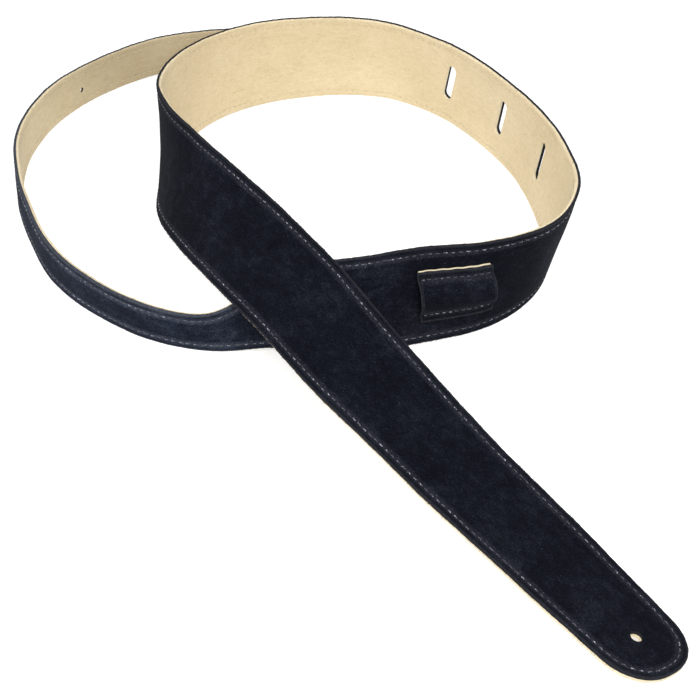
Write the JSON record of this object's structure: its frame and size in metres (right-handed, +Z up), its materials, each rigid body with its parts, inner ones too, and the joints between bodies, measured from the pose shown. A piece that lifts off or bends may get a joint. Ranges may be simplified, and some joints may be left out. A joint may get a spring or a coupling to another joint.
{
  "type": "guitar strap",
  "caption": "Two-ply suede guitar strap coiled on its edge: rounded head end with button hole and slit, slotted wide shoulder, stitched keeper loop and a narrow tail.",
  "frame": {"origin": "on the floor, under the centre of the whole coiled strap's bounding box", "axes": "+Z up out of the floor; +Y is the long way of the coil, from the rounded head end in front to the narrow tail at the back; +X to the right"},
  "size_m": [0.3312, 0.4934, 0.0629],
  "materials": {
    "black_suede": "napped suede, matt",
    "tan_leather": "brushed split leather, matt",
    "grey_thread": "waxed thread",
    "cream_thread": "waxed thread"
  },
  "bodies": {
    "body": {"body_face": "black_suede", "body_backing": "tan_leather", "body_needle_thread": "grey_thread", "body_bobbin_thread": "cream_thread", "keeper_face": "black_suede", "keeper_lining": "tan_leather", "keeper_thread": "grey_thread"},
    "head_end": {"head_face": "black_suede", "head_backing": "tan_leather", "head_needle_thread": "grey_thread", "head_bobbin_thread": "cream_thread"},
    "tail": {"tail_face": "black_suede", "tail_backing": "tan_leather", "tail_needle_thread": "grey_thread", "tail_bobbin_thread": "cream_thread"},
    "tail_end": {"tail_end_face": "black_suede", "tail_end_backing": "tan_leather", "tail_end_needle_thread": "grey_thread", "tail_end_bobbin_thread": "cream_thread"}
  },
  "joints": [
    {"name": "head_end_lift", "type": "hinge", "parent": "body", "child": "head_end", "pos_m": [0.03814, -0.09449, 0.03161], "axis": [-0.7962, -0.5848, -0.1549], "range_deg": [0, 40]},
    {"name": "tail_swing", "type": "hinge", "parent": "body", "child": "tail", "pos_m": [-0.05387, -0.03029, 0.01129], "axis": [0, 0, 1], "range_deg": [-8, 20]},
    {"name": "tail_end_swing", "type": "hinge", "parent": "tail", "child": "tail_end", "pos_m": [-0.16113, 0.10367, 0.01136], "axis": [0, 0, 1], "range_deg": [-5, 25]}
  ]
}
